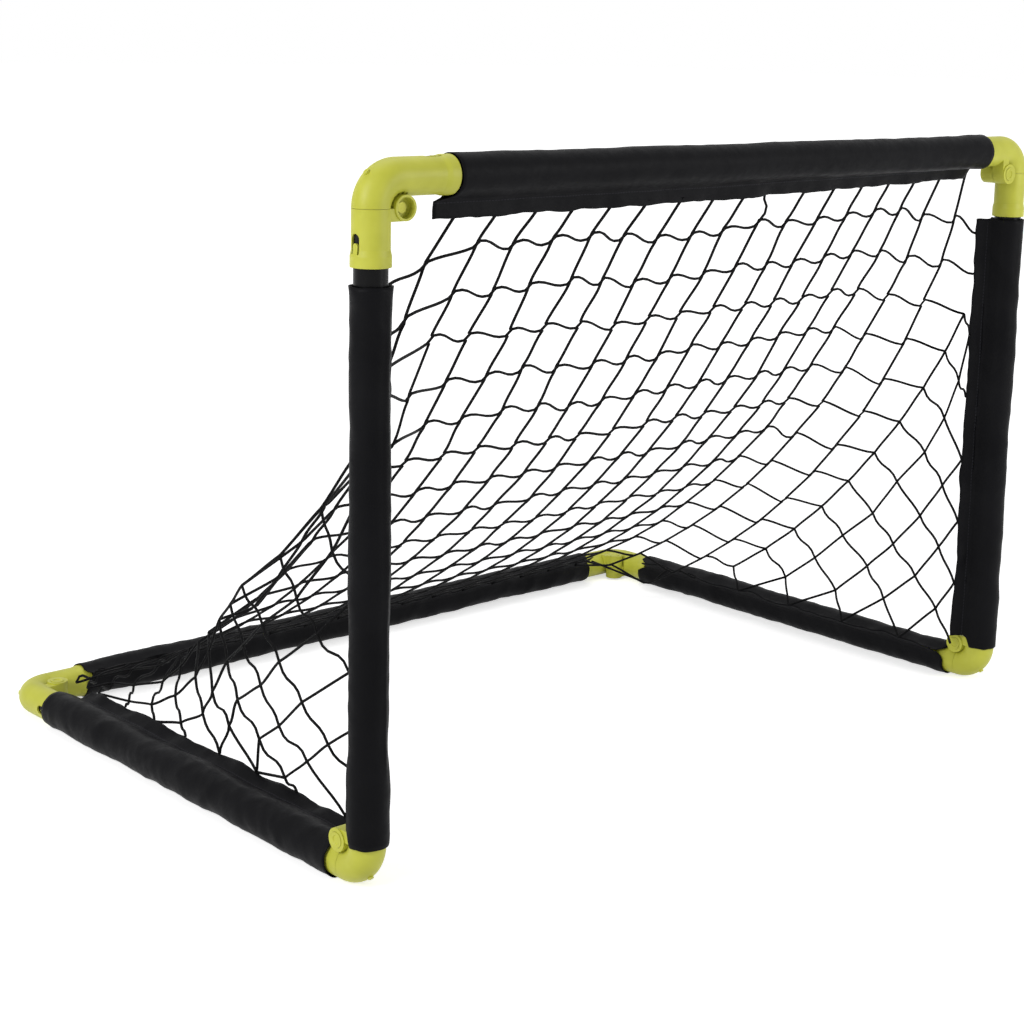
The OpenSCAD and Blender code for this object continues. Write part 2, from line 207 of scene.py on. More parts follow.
def moulded_polypropylene():
    """Lime polypropylene, injection moulded: a waxy satin skin with a fine spark-eroded grain."""
    material, tree, shader = new_material("moulded_polypropylene")
    place = node(tree, "ShaderNodeTexCoord").outputs["Object"]
    # flow marks some 30 mm across, in which the pigment is a little denser
    flow = node(tree, "ShaderNodeTexNoise", {"Scale": 1 / (30 * MM), "Detail": 3.0}, {"Vector": place})
    tint = node(tree, "ShaderNodeValToRGB", {"stops": [(0.35, srgb("#BDBE40")), (0.68, srgb("#C9CA4C"))]},
                {"Fac": flow.outputs["Fac"]})
    # mould grain, 0.4 mm on the real skin and drawn at 0.9 mm so that it shows
    grain = node(tree, "ShaderNodeTexNoise", {"Scale": 1 / (0.9 * MM), "Detail": 2.0}, {"Vector": place})
    skin = node(tree, "ShaderNodeValToRGB", {"stops": [(0.3, 0.40), (0.7, 0.50)]},
                {"Fac": grain.outputs["Fac"]})
    bump = node(tree, "ShaderNodeBump", {"Strength": 0.12, "Distance": 0.15 * MM},
                {"Height": grain.outputs["Fac"]})
    set_up(tree, shader,
           {"IOR": 1.49, "Specular IOR Level": 0.35, "Subsurface Weight": 0.08,
            "Subsurface Radius": (1.2 * MM, 1.4 * MM, 0.4 * MM)},
           {"Base Color": tint.outputs["Color"], "Roughness": skin.outputs["Color"],
            "Normal": bump.outputs["Normal"]})
    return material


def painted_steel():
    """Welded steel tube in black gloss powder coat: a slight orange peel and rub marks along it."""
    material, tree, shader = new_material("painted_steel")
    place = node(tree, "ShaderNodeTexCoord").outputs["Object"]
    # orange peel, 2.5 mm from crest to crest
    peel = node(tree, "ShaderNodeTexNoise", {"Scale": 1 / (2.5 * MM), "Detail": 1.0}, {"Vector": place})
    bump = node(tree, "ShaderNodeBump", {"Strength": 0.10, "Distance": 0.1 * MM},
                {"Height": peel.outputs["Fac"]})
    # rubbed patches where the cloth slides, some 25 mm long
    rub = node(tree, "ShaderNodeTexNoise", {"Scale": 1 / (25 * MM), "Detail": 4.0}, {"Vector": place})
    gloss = node(tree, "ShaderNodeValToRGB", {"stops": [(0.35, 0.20), (0.7, 0.38)]},
                 {"Fac": rub.outputs["Fac"]})
    tone = node(tree, "ShaderNodeValToRGB", {"stops": [(0.4, srgb("#070708")), (0.8, srgb("#101011"))]},
                {"Fac": rub.outputs["Fac"]})
    set_up(tree, shader, {"Specular IOR Level": 0.10},
           {"Base Color": tone.outputs["Color"], "Roughness": gloss.outputs["Color"],
            "Normal": bump.outputs["Normal"]})
    return material


def lockstitch(tree, lie):
    """1 on the two rows of lockstitch that close a sleeve where its hem begins, and 0 elsewhere."""
    split = node(tree, "ShaderNodeSeparateXYZ", links={"Vector": lie})
    rows = [node(tree, "ShaderNodeMath", {"operation": "COMPARE", 1: u, 2: STITCH_HALF_W},
                 {0: split.outputs["X"]}) for u in STITCH_ROWS]
    row = node(tree, "ShaderNodeMath", {"operation": "MAXIMUM"},
               {0: rows[0].outputs[0], 1: rows[1].outputs[0]})
    run = node(tree, "ShaderNodeMath", {"operation": "PINGPONG", 1: STITCH_L / 2},
               {0: split.outputs["Y"]})
    dash = node(tree, "ShaderNodeMath", {"operation": "GREATER_THAN", 1: STITCH_GAP_HALF},
                {0: run.outputs[0]})
    return node(tree, "ShaderNodeMath", {"operation": "MULTIPLY"},
                {0: row.outputs[0], 1: dash.outputs[0]}).outputs[0]


def polyester_taffeta():
    """Black polyester taffeta, plain woven: dull, with a faint sheen on the crests of its folds."""
    material, tree, shader = new_material("polyester_taffeta")
    lie = node(tree, "ShaderNodeUVMap", {"uv_map": "cloth"}).outputs["UV"]
    place = node(tree, "ShaderNodeTexCoord").outputs["Object"]
    # threads every 0.25 mm on the real cloth, drawn at 1 mm so that they show
    threads = WAVE_L / (1.0 * MM)
    warp = node(tree, "ShaderNodeTexWave", {"bands_direction": "X", "Scale": threads}, {"Vector": lie})
    weft = node(tree, "ShaderNodeTexWave", {"bands_direction": "Y", "Scale": threads}, {"Vector": lie})
    weave = node(tree, "ShaderNodeMath", {"operation": "MULTIPLY"},
                 {0: warp.outputs["Fac"], 1: weft.outputs["Fac"]})
    woven = node(tree, "ShaderNodeBump", {"Strength": 0.10, "Distance": 0.12 * MM},
                 {"Height": weave.outputs[0]})
    # small creases, 7 mm apart, that the handling leaves
    crease = node(tree, "ShaderNodeTexNoise",
                  {"Scale": 1 / (7 * MM), "Detail": 3.0, "Distortion": 0.8}, {"Vector": place})
    crumpled = node(tree, "ShaderNodeBump", {"Strength": 0.22, "Distance": 0.8 * MM},
                    {"Height": crease.outputs["Fac"], "Normal": woven.outputs["Normal"]})
    stitch = lockstitch(tree, lie)
    sewn = node(tree, "ShaderNodeBump", {"Strength": 0.5, "Distance": 0.3 * MM},
                {"Height": stitch, "Normal": crumpled.outputs["Normal"]})
    # dye and dust vary over some 60 mm
    patch = node(tree, "ShaderNodeTexNoise", {"Scale": 1 / (60 * MM), "Detail": 4.0}, {"Vector": place})
    dye = node(tree, "ShaderNodeValToRGB", {"stops": [(0.3, srgb("#0E0E10")), (0.7, srgb("#151517"))]},
               {"Fac": patch.outputs["Fac"]})
    tone = node(tree, "ShaderNodeMix", {"data_type": "RGBA", "B": srgb("#26262A")},
                {"Factor": stitch, "A": dye.outputs["Color"]})
    rough = node(tree, "ShaderNodeValToRGB", {"stops": [(0.3, 0.42), (0.7, 0.56)]},
                 {"Fac": crease.outputs["Fac"]})
    set_up(tree, shader, {"Specular IOR Level": 0.045, "Sheen Weight": 0.004, "Sheen Roughness": 0.4},
           {"Base Color": tone.outputs["Result"], "Roughness": rough.outputs["Color"],
            "Normal": sewn.outputs["Normal"]})
    return material


def polyethylene_cord():
    """Black polyethylene twine, knitted without knots: matt, with the ridges of its stitches."""
    material, tree, shader = new_material("polyethylene_cord")
    place = node(tree, "ShaderNodeTexCoord").outputs["Object"]
    # stitches every 1.6 mm along the twine
    stitch = node(tree, "ShaderNodeTexVoronoi", {"Scale": 1 / (1.6 * MM)}, {"Vector": place})
    bump = node(tree, "ShaderNodeBump", {"Strength": 0.5, "Distance": 0.4 * MM},
                {"Height": stitch.outputs["Distance"]})
    tone = node(tree, "ShaderNodeValToRGB", {"stops": [(0.1, srgb("#131314")), (0.8, srgb("#0A0A0B"))]},
                {"Fac": stitch.outputs["Distance"]})
    set_up(tree, shader, {"Roughness": 0.62, "Specular IOR Level": 0.06},
           {"Base Color": tone.outputs["Color"], "Normal": bump.outputs["Normal"]})
    return material


def chromated_zinc():
    """Zinc-plated steel of the rivets and springs, olive from its chromate bath, slightly cloudy."""
    material, tree, shader = new_material("chromated_zinc")
    place = node(tree, "ShaderNodeTexCoord").outputs["Object"]
    # clouds some 3 mm across
    cloud = node(tree, "ShaderNodeTexNoise", {"Scale": 1 / (3 * MM), "Detail": 4.0}, {"Vector": place})
    tone = node(tree, "ShaderNodeValToRGB", {"stops": [(0.3, srgb("#7F7F30")), (0.7, srgb("#9C9A46"))]},
                {"Fac": cloud.outputs["Fac"]})
    rough = node(tree, "ShaderNodeValToRGB", {"stops": [(0.3, 0.38), (0.7, 0.55)]},
                 {"Fac": cloud.outputs["Fac"]})
    set_up(tree, shader, {"Metallic": 0.85},
           {"Base Color": tone.outputs["Color"], "Roughness": rough.outputs["Color"]})
    return material


LIME = moulded_polypropylene()
PAINT = painted_steel()
CLOTH = polyester_taffeta()
CORD = polyethylene_cord()
ZINC = chromated_zinc()


# ---- frame parts ----

def finish_of(name):
    """The material and the record's slot of a rigid part."""
    if name.endswith("_tube"):
        return PAINT, "tube_paint"
    if name.endswith(("_pin", "_spring")):
        return ZINC, "zinc_steel"
    return LIME, "lime_plastic"


def dress_frame():
    for name, part in frame["nodes"].items():
        if name.endswith(("_sleeve", "_net")):
            continue
        material, slot = finish_of(name)
        part.data.materials.clear()
        part.data.materials.append(material)


# ---- cloth sleeves ----

RING_STEP = 4 * MM
LOW_FLOOR = 0.3 * MM
# folds of the slack cloth: their spacing round the tube and along it, and their height
BROAD_FOLDS = (60 * MM, 95 * MM, 1.1 * MM)
DRAPE_FOLDS = (55 * MM, 34 * MM, 0.55 * MM)
FINE_FOLDS = (20 * MM, 10 * MM, 0.25 * MM)
DRAPE_SHARP = 2.2
FOLD_LEAN = 0.6
# the cloth can sink this far over a corner joint and this much deeper over the bare tube, and it
# takes this length to get from the one to the other
SINK_AT_JOINT, SINK_AT_TUBE, JOINT_STEP = 0.15 * MM, 2.2 * MM, 22 * MM
# a pressed crease: its height, its width and its wander as shares of the radius, and the wander's length
CREASE_HIGH, CREASE_W, CREASE_WANDER, CREASE_WAVE = 1.3 * MM, 0.16, 0.12, 90 * MM
# ragged ends: how deep and how wide the rags are, and how far in from the end they fade out
RAG_DEEP, RAG_W, RAG_REACH = 0.9 * MM, 9 * MM, 12 * MM
# the hem's long and short waves from side to side, and those of its sewn edge
HEM_WAVES, EDGE_WAVES = (42 * MM, 19 * MM), (24 * MM, 9 * MM)
HEM_SWAY, HEM_SWAY_BAG, EDGE_SWAY = 2.2 * MM, 1.2 * MM, 1.5 * MM
SHORT_WAVE = 0.5
# a hem that turns does so more and more towards its far end
TURN_POWER = 1.5
# each kind of unevenness takes its own layer of the noise
LAYER = {"broad": 0, "drape": 7.3, "fine": 15.1, "crease": 21, "rags": 31,
         "hem": (3, 5), "edge": (9, 13)}

POST_HEM = (0.87, 0.5)
RAIL_HEM = (0.87, 0.5)
BAR_HEM_TURN = math.radians(38)
REAR_CUT = 27.5 * MM
# behind, where the hinge barrel stands, the foot of a post's sleeve is cut this much higher
POST_FOOT_RISE, FOOT_FROM, FOOT_OVER = 12.5 * MM, 0.08, 0.32
LEFT_CREASE = (0.3, -0.954, 0)


def uneven(u, v, layer):
    """Smooth noise between -1 and 1 at a place given in wavelengths."""
    return noise.noise(Vector((u, v, layer)))


def waves(v, lengths, layers):
    """Long and short waves along a line."""
    along = [uneven(v / length, 0.5, layer) for length, layer in zip(lengths, layers)]
    return along[0] + SHORT_WAVE * along[1]


def folds(u, v, seed):
    """How far the cloth stands off its round shape at a place on it, for a bag of 1."""
    lean = FOLD_LEAN * u
    broad, drape, fine = BROAD_FOLDS, DRAPE_FOLDS, FINE_FOLDS
    off = broad[2] * uneven(u / broad[0], v / broad[1], seed + LAYER["broad"])
    ridge = abs(uneven(u / drape[0], (v + lean) / drape[1], seed + LAYER["drape"]))
    off += drape[2] * (1 - DRAPE_SHARP * ridge)
    return off + fine[2] * uneven(u / fine[0], (v - lean) / fine[1], seed + LAYER["fine"])


def post_foot(radial):
    """How far above its lower end a post's sleeve begins in this direction."""
    return POST_FOOT_RISE * smooth((radial.y - FOOT_FROM) / FOOT_OVER)


class Sleeve:
    """A sewn sleeve round a tube, along an axis (0, 1 or 2), with its hem towards a direction.

    bag is how loosely it hangs and slim how close it lies to the bare tube. foot gives the start of
    the cloth for each direction, socket how much of each end lies over a corner joint, cut how far
    each end stays short, hem_cut how much shorter still its hem is, turn how far the hem has turned
    at the far end, and crease a direction along which a pressed fold stands up."""

    def __init__(self, part, axis, hem, seed, bag, slim=0.0, foot=None, socket=(0.0, 0.0),
                 cut=(0.0, 0.0), hem_cut=(0.0, 0.0), turn=0.0, crease=None):
        self.part, self.axis, self.seed = part, axis, seed
        self.bag, self.slim, self.foot, self.crease = bag, slim, foot, crease
        self.socket, self.cut, self.hem_cut, self.turn = socket, cut, hem_cut, turn
        self.low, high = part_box(part + "_sleeve")
        self.length = high[axis] - self.low[axis]
        self.centre = middle(part + "_sleeve")
        # the solids of the low sleeves are flat below, so their middle isn't the tube's
        if axis < 2 and self.low.z < RAIL_Z:
            self.centre.z = RAIL_Z
        self.out = Vector(hem).normalized()
        self.across = Vector([float(i == axis) for i in range(3)]).cross(self.out)

    def directions(self, share):
        """Towards the hem and across it, at this share of the length."""
        angle = self.turn * share ** TURN_POWER
        return (self.out * math.cos(angle) + self.across * math.sin(angle),
                self.across * math.cos(angle) - self.out * math.sin(angle))

    def place_along(self, k, share, radial):
        """How far along the sleeve point k of the profile lies, at this share of the length."""
        start = self.cut[0] + self.hem_cut[0] * PAST_SEAM[k]
        if self.foot:
            start += self.foot(radial.normalized())
        end = self.length - self.cut[1] - self.hem_cut[1] * PAST_SEAM[k]
        v = start + (end - start) * share
        rag = RAG_DEEP * uneven(AROUND[k] / RAG_W, 3 * share, self.seed + LAYER["rags"])
        return v + rag * (1 - min(1.0, min(v - start, end - v) / RAG_REACH))

    def stand_off(self, k, v, radial):
        """How far point k of the profile stands off the round shape there."""
        bare = clamp(min(v - self.socket[0], self.length - self.socket[1] - v) / JOINT_STEP)
        off = (self.bag * folds(AROUND[k], v, self.seed) - self.slim * bare) * (1 - IN_HEM[k])
        if self.crease:
            wander = CREASE_WANDER * uneven(v / CREASE_WAVE, 0.5, self.seed + LAYER["crease"])
            beside = (radial.normalized() - Vector(self.crease)).length + wander
            off += CREASE_HIGH * bare * math.exp(-(beside / CREASE_W) ** 2)
        return max(off, -SINK_AT_JOINT - SINK_AT_TUBE * bare)

    def hem_hang(self, v, out, across):
        """How the tip of the hem waves from side to side, and how uneven its sewn edge is."""
        wave = waves(v, HEM_WAVES, [self.seed + layer for layer in LAYER["hem"]])
        edge = waves(v, EDGE_WAVES, [self.seed + layer for layer in LAYER["edge"]])
        return across * wave * (HEM_SWAY + HEM_SWAY_BAG * self.bag) + out * edge * EDGE_SWAY

    def point(self, k, share):
        """Point k of the profile at this share of the length, and how far along it lies."""
        out, across = self.directions(share)
        radial = out * PROFILE[k][0] + across * PROFILE[k][1]
        v = self.place_along(k, share, radial)
        facing = out * FACING[k][0] + across * FACING[k][1]
        place = self.centre + radial + facing * self.stand_off(k, v, radial)
        place += self.hem_hang(v, out, across) * IN_HEM[k]
        place[self.axis] = self.low[self.axis] + v
        place.z = max(place.z, LOW_FLOOR + CLOTH_T / 2)
        return place, v

    def sew(self, body):
        """Makes the sleeve and lets it ride on a body."""
        rings, n = int(self.length / RING_STEP), len(PROFILE)
        grid = [self.point(k, i / rings) for i in range(rings + 1) for k in range(n)]
        faces = [(i * n + k, i * n + k + 1, (i + 1) * n + k + 1, (i + 1) * n + k)
                 for i in range(rings) for k in range(n - 1)]
        mesh = bpy.data.meshes.new(self.part + "_cloth")
        mesh.from_pydata([place for place, v in grid], [], faces)
        uv = mesh.uv_layers.new(name="cloth")
        for loop in mesh.loops:
            index = loop.vertex_index
            uv.data[loop.index].uv = (AROUND[index % n], grid[index][1])
        piece = bpy.data.objects.new(self.part + "_cloth", mesh)
        bpy.context.scene.collection.objects.link(piece)
        thicken(piece)
        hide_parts(self.part + "_sleeve")
        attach(piece, body)


def only(piece):
    """Selects this piece alone."""
    bpy.ops.object.select_all(action="DESELECT")
    piece.select_set(True)
    bpy.context.view_layer.objects.active = piece


def thicken(piece):
    """Gives a sheet of cloth its thickness and its material."""
    only(piece)
    bpy.ops.object.mode_set(mode="EDIT")
    bpy.ops.mesh.select_all(action="SELECT")
    bpy.ops.mesh.normals_make_consistent(inside=False)
    bpy.ops.object.mode_set(mode="OBJECT")
    thick = piece.modifiers.new("cloth thickness", "SOLIDIFY")
    thick.thickness = CLOTH_T
    thick.offset = 0.0
    bpy.ops.object.modifier_apply(modifier=thick.name)
    bpy.ops.object.shade_smooth()
    piece.data.materials.append(CLOTH)


def make_sleeves():
    Sleeve("crossbar", 0, (0, 0, -1), 2.0, bag=0.8, slim=0.6 * MM, socket=(0.0, 20 * MM),
           hem_cut=(-17 * MM, -4 * MM), turn=BAR_HEM_TURN).sew("front_frame")
    for inward, name, seed, crease in ((1, "left", 11.0, LEFT_CREASE), (-1, "right", 23.0, None)):
        Sleeve(name + "_post", 2, (inward * POST_HEM[0], POST_HEM[1], 0), seed, bag=1.3, slim=1.0 * MM,
               foot=post_foot, socket=(57 * MM, 0.0), crease=crease).sew("front_frame")
        Sleeve(name + "_rail", 1, (inward * RAIL_HEM[0], 0, RAIL_HEM[1]), seed + 40, bag=1.9,
               socket=(36 * MM, 45 * MM), cut=(0.0, REAR_CUT),
               hem_cut=(8 * MM, 18 * MM)).sew("ground_frame")
    Sleeve("rear_rail", 0, (0, -RAIL_HEM[0], RAIL_HEM[1]), 91.0, bag=1.7, socket=(36 * MM, 45 * MM),
           cut=(REAR_CUT, REAR_CUT), hem_cut=(6 * MM, 6 * MM)).sew("ground_frame")


# ---- net sizes ----

COLUMNS, ROWS = 17, 15
STRAND_R = 1.4 * MM
# at a joint two cords lie together over this half length, each this far off its middle
JOINT_HALF, JOINT_OFF = 4 * MM, 0.9 * STRAND_R
JOINT_LEAN = 0.18
# twine in a bar, its least slack, its most slack as a share of its span, and how deep it bends
BAR_TWINE, LEAST_SLACK, MOST_SLACK, BEND_DEEP = 50 * MM, 9 * MM, 0.7, 1.25
BAR_SAMPLES = 6
# how far bars lean: those of the back's columns and rows, and the side panels' two ways
COLUMN_LEAN, ROW_LEAN, SIDE_LEAN, CROSS_LEAN = (-0.35, 0.35), (0.45, 0.95), (0.9, 1.7), (0.1, 0.5)
RIGHT = Vector((1, 0, 0))

# edges of the hems that the net is sewn into, and how deep it goes into them
BAR_HEM = (0.0, HEIGHT - HEM_TIP_R)
REAR_HEM = (DEPTH - RAIL_HEM[0] * HEM_TIP_R, RAIL_HEM[1] * HEM_TIP_R)
POST_HEM_X, POST_HEM_Y = HALF_W - POST_HEM[0] * HEM_TIP_R, POST_HEM[1] * HEM_TIP_R
RAIL_HEM_X, RAIL_HEM_Z = HALF_W - RAIL_HEM[0] * HEM_TIP_R, RAIL_HEM[1] * HEM_TIP_R
HEM_BITE = 5 * MM
INTO_BAR_HEM = Vector((0, 0, 1)) * HEM_BITE
INTO_REAR_HEM = Vector((0, 0.7, -0.7)) * HEM_BITE
# clear of a hem is this far from it
HEM_CLEAR = 8 * MM

# rows of the back: the way from one to the next, and their slopes in degrees, less from FLAT_ROW on
FIRST_ROW, ROW_PITCH = 46 * MM, 53 * MM
FIRST_SLOPE, SLOPE, FLATTEN, FLAT_ROW = 45, 58.0, 3.3, 4
# what is left to the rear hem goes mostly into the last rows
LATE = 1.5
# columns of the back: x of the first and the way to the next, at the crossbar and at the rear rail
TOP_FIRST, TOP_PITCH = -350 * MM, 46.2 * MM
REAR_FIRST, REAR_PITCH = -388 * MM, 48.5 * MM
# no joint lies further out than this on the rear hem, and this much more for each row above it
REAR_REACH, REACH_STEP = 370 * MM, 22 * MM

# outside this x the back curves forward to its edges
SHOULDER_X, EDGE_IN = 300 * MM, 50 * MM
# how far each edge of the back hangs below its middle at row 3, and how that changes down the rows
DROP_ROW = 3
EDGE_DROP = {-1: (46 * MM, -1.0 * MM), 1: (26 * MM, 2.5 * MM)}
# how far below its row the edge is sewn to a post, and how far in front of the rear rail to a side rail
EDGE_BELOW, EDGE_BEFORE = 22 * MM, 60 * MM
# how far from the hems of post and rail the side panels begin to lean in
POST_PULL, RAIL_PULL = 24 * MM, 22 * MM
# below this row the left edge of the back runs in towards the rear rail, and sags
RUN_IN_ROW, RUN_IN_X, RUN_IN_SAG = 7, 290 * MM, 18 * MM
# how far these rows turn over the left edge off their regular place, in millimetres
LEFT_SET = {3: (15, 0, 0), 4: (30, 0, 0), 5: (22, 0, -2), 6: (6, 6, -8), 7: (0, 22, -6)}
# the two columns next to the left edge spread towards it over rows 4 to 6
SPREAD, SPREAD_COLUMNS, SPREAD_ROW, SPREAD_OVER = 7 * MM, 2, 4, 2
# a column this near to the left edge has reached it
EDGE_NEAR = 14 * MM
# x, depth and height in millimetres of the joints that the left post's hem draws towards itself
NEAR_LEFT_POST = {
    (0, 1): (-360, 30, 507), (0, 2): (-378, 33, 462), (0, 3): (-409, 18, 424),
    (0, 4): (-410, 18, 400), (0, 5): (-410, 18, 376), (1, 4): (-340, 74, 386),
    (1, 5): (-368, 60, 350),
}
# in these rows the first column is sewn into the hem
SEWN_ROWS = (3, 4, 5)
# one bar has come off the crossbar's hem: from its loose end down to its joint, x and height from
# that joint in millimetres
LOOSE_COLUMN = 9
LOOSE_BAR = [(22, 33), (27, 35), (22, 37), (14, 35), (8, 30), (7, 23), (11, 16), (9, 9), (2, 3)]
LOOSE_FORWARD = 1 * MM

# unevenness, and over how many rows from the crossbar it and other things fade
SWELL, STRAY_DOWN, STRAY_ACROSS, STRAY_SIDE = 7 * MM, 2.2 * MM, 2.4 * MM, 2.5 * MM
SWELL_FADE, SHOULDER_FADE, TURN_FADE = 7, 2.5, 1.2

# how far a line of the side panel comes forward as it falls, and its bars' length
SIDE_RUN = {-1: (1.0, 42 * MM), 1: (1.19, 48 * MM)}
# a line that starts nearer the middle comes forward by this share of the difference more
RUN_MORE = 0.55
# two more lines of the left panel start on the rear hem, this far apart
REAR_LINES, REAR_LINE_STEP = 2, 42 * MM
FIRST_SIDE_ROW = 3
# numbers of the cords that cross a side panel; below 0 they are columns that turn over the left
# edge, one in every two rows from this row on
CROSSINGS = range(-3, 12)
OVER_ROW, OVER_MOST = 9, 3.0
# a line's last joint stays this far from the hem, and a start nearer than TOUCHING is the joint itself
LAST_JOINT, TOUCHING = 16 * MM, 1 * MM
# the side panels stand this far out of the flat, less near the post's hem
SIDE_BULGE, BULGE_BY_POST = 15 * MM, 0.6

# the back is in parts between these rows
GROUP_ROWS = (0, 3, 6, 9, 12, ROWS)
GROUP_NAMES = ("net_top", "net_upper", "net_middle", "net_lower", "net_rear")

NET_SEED = 4
draw = random.Random(NET_SEED)


def spread(most):
    """A random length up to this much either way."""
    return draw.uniform(-most, most)


# ---- joints of the net ----

def make_rows():
    """Depth and height of each row of joints along the middle of the back."""
    rows = [Vector(BAR_HEM)]
    for r in range(ROWS):
        slope = math.radians(SLOPE - FLATTEN * max(0, r - FLAT_ROW) if r else FIRST_SLOPE)
        step = ROW_PITCH if r else FIRST_ROW
        rows.append(rows[-1] + step * Vector((math.cos(slope), -math.sin(slope))))
    miss = Vector(REAR_HEM) - rows[-1]
    return [p + miss * (i / ROWS) ** LATE for i, p in enumerate(rows)]


ROW = make_rows()
SWELL_OF = [spread(SWELL) for column in range(COLUMNS)]


def edge_point(side, row):
    """Depth and height at which a row would turn over the edge of the back."""
    drop, change = EDGE_DROP[side]
    return ROW[row] + Vector((-EDGE_IN, -(drop + change * (row - DROP_ROW))))


def on_side(side, point):
    """A point of a side panel, which leans in towards the hems of the post and the rail."""
    pull = (HALF_W - POST_HEM_X) * math.exp(-max(0.0, point[0] - POST_HEM_Y) / POST_PULL)
    pull += (HALF_W - RAIL_HEM_X) * math.exp(-max(0.0, point[1] - RAIL_HEM_Z) / RAIL_PULL)
    return at(side * (HALF_W - min(pull, HALF_W - POST_HEM_X)), point[0], point[1])


def is_free(point):
    """Clear of the hems of the post and the rail."""
    return point[0] > POST_HEM_Y + HEM_CLEAR and point[1] > RAIL_HEM_Z + HEM_CLEAR


def edge_joint(side, row):
    """Where a row turns over the edge of the back."""
    if side < 0 and row > RUN_IN_ROW:
        share = (row - RUN_IN_ROW) / (ROWS - RUN_IN_ROW)
        place = edge_joint(side, RUN_IN_ROW).lerp(at(-RUN_IN_X, *REAR_HEM), share)
        return place - Vector((0, 0, 4 * share * (1 - share) * RUN_IN_SAG))
    point = edge_point(side, row)
    if not is_free(point):
        if row < ROWS / 2:
            point = Vector((POST_HEM_Y, ROW[row][1] - EDGE_BELOW))
        else:
            point = Vector((min(point[0], DEPTH - EDGE_BEFORE), RAIL_HEM_Z))
    place = on_side(side, point)
    if side < 0 and row in LEFT_SET:
        place += Vector(LEFT_SET[row]) * MM
    return place


def bar_hem(x):
    """The edge of the crossbar's hem at this x."""
    low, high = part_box("crossbar_sleeve")
    angle = BAR_HEM_TURN * clamp((x - low.x) / (high.x - low.x)) ** TURN_POWER
    return at(x, HEM_TIP_R * math.sin(angle), HEIGHT - HEM_TIP_R * math.cos(angle))


def on_back(column, row, x):
    """A joint of this column in the open back, at about this x."""
    lift = smooth((abs(x) - SHOULDER_X) / (HALF_W - SHOULDER_X)) * (1 - math.exp(-row / SHOULDER_FADE))
    drop, change = EDGE_DROP[1 if x > 0 else -1]
    point = ROW[row] + lift * Vector((-EDGE_IN, -(drop + change * max(row - DROP_ROW, 0))))
    down = (ROW[row + 1] - ROW[row - 1]).normalized()
    point += down * (SWELL_OF[column] * math.exp(-row / SWELL_FADE) + spread(STRAY_DOWN))
    # the upper rows follow the turned hem of the crossbar
    turned = (bar_hem(x) - at(x, *BAR_HEM)) * math.exp(-row / TURN_FADE)
    return at(x + spread(STRAY_ACROSS), *point) + turned


def joint(column, row):
    """A joint of the back. Columns -1 and COLUMNS are its edges."""
    if column in (-1, COLUMNS):
        return edge_joint(-1 if column < 0 else 1, row)
    top, rear = TOP_FIRST + TOP_PITCH * column, REAR_FIRST + REAR_PITCH * column
    x = top + (rear - top) * (row / ROWS) ** 2
    if row == 0:
        return bar_hem(x)
    x -= max(0, SPREAD_COLUMNS - column) * SPREAD * smooth((row - SPREAD_ROW) / SPREAD_OVER)
    if row > RUN_IN_ROW and x < edge_joint(-1, row).x + EDGE_NEAR:
        return edge_joint(-1, row)
    if (column, row) in NEAR_LEFT_POST:
        return at(*(v * MM for v in NEAR_LEFT_POST[(column, row)]))
    reach = REAR_REACH + (ROWS - row) * REACH_STEP
    x = clamp(x, -reach, reach)
    return at(x, *REAR_HEM) if row == ROWS else on_back(column, row, x)


# ---- cords of the net ----

def bend(start, end, lean):
    """Points of a slack bar between two joints, which leaves and arrives leaning this way."""
    chord = end - start
    slack = math.sqrt(max(BAR_TWINE ** 2 - chord.length ** 2, LEAST_SLACK ** 2))
    pull = lean * min(slack, MOST_SLACK * chord.length) * BEND_DEEP
    shares = [i / BAR_SAMPLES for i in range(1, BAR_SAMPLES)]
    return [start + chord * t + pull * (2 * t ** 3 - 3 * t ** 2 + t) for t in shares]


class Cord:
    """Points of one cord of the net, kept with the group of rows that each stretch belongs to."""

    def __init__(self):
        self.runs = []

    def stretch(self, group, points):
        if self.runs and self.runs[-1][0] == group:
            self.runs[-1][1].extend(points[1:] if self.runs[-1][1][-1] == points[0] else points)
        else:
            self.runs.append((group, list(points)))

    def bar(self, group, start, end, lean):
        self.stretch(group, [start] + bend(start, end, lean) + [end])


def group_of(row):
    """The group of rows that the bar below this row belongs to."""
    return max(g for g in range(len(GROUP_ROWS) - 1) if GROUP_ROWS[g] <= row)


def run_at(grid, column, row):
    """Upward direction of the two cords where they lie together at a joint."""
    below, above = grid[(column, min(row + 1, ROWS))], grid[(column, max(row - 1, 0))]
    lean = RIGHT * (JOINT_LEAN if 0 <= column < COLUMNS else 0.0)
    return ((above - below).normalized() + lean).normalized()


def beside(grid, column, row, up, right):
    """Where a cord meets a joint: up is 1 above it and -1 below, right is 1 to its right and -1 left."""
    return (grid[(column, row)] + run_at(grid, column, row) * (up * JOINT_HALF)
            + RIGHT * (right * JOINT_OFF))


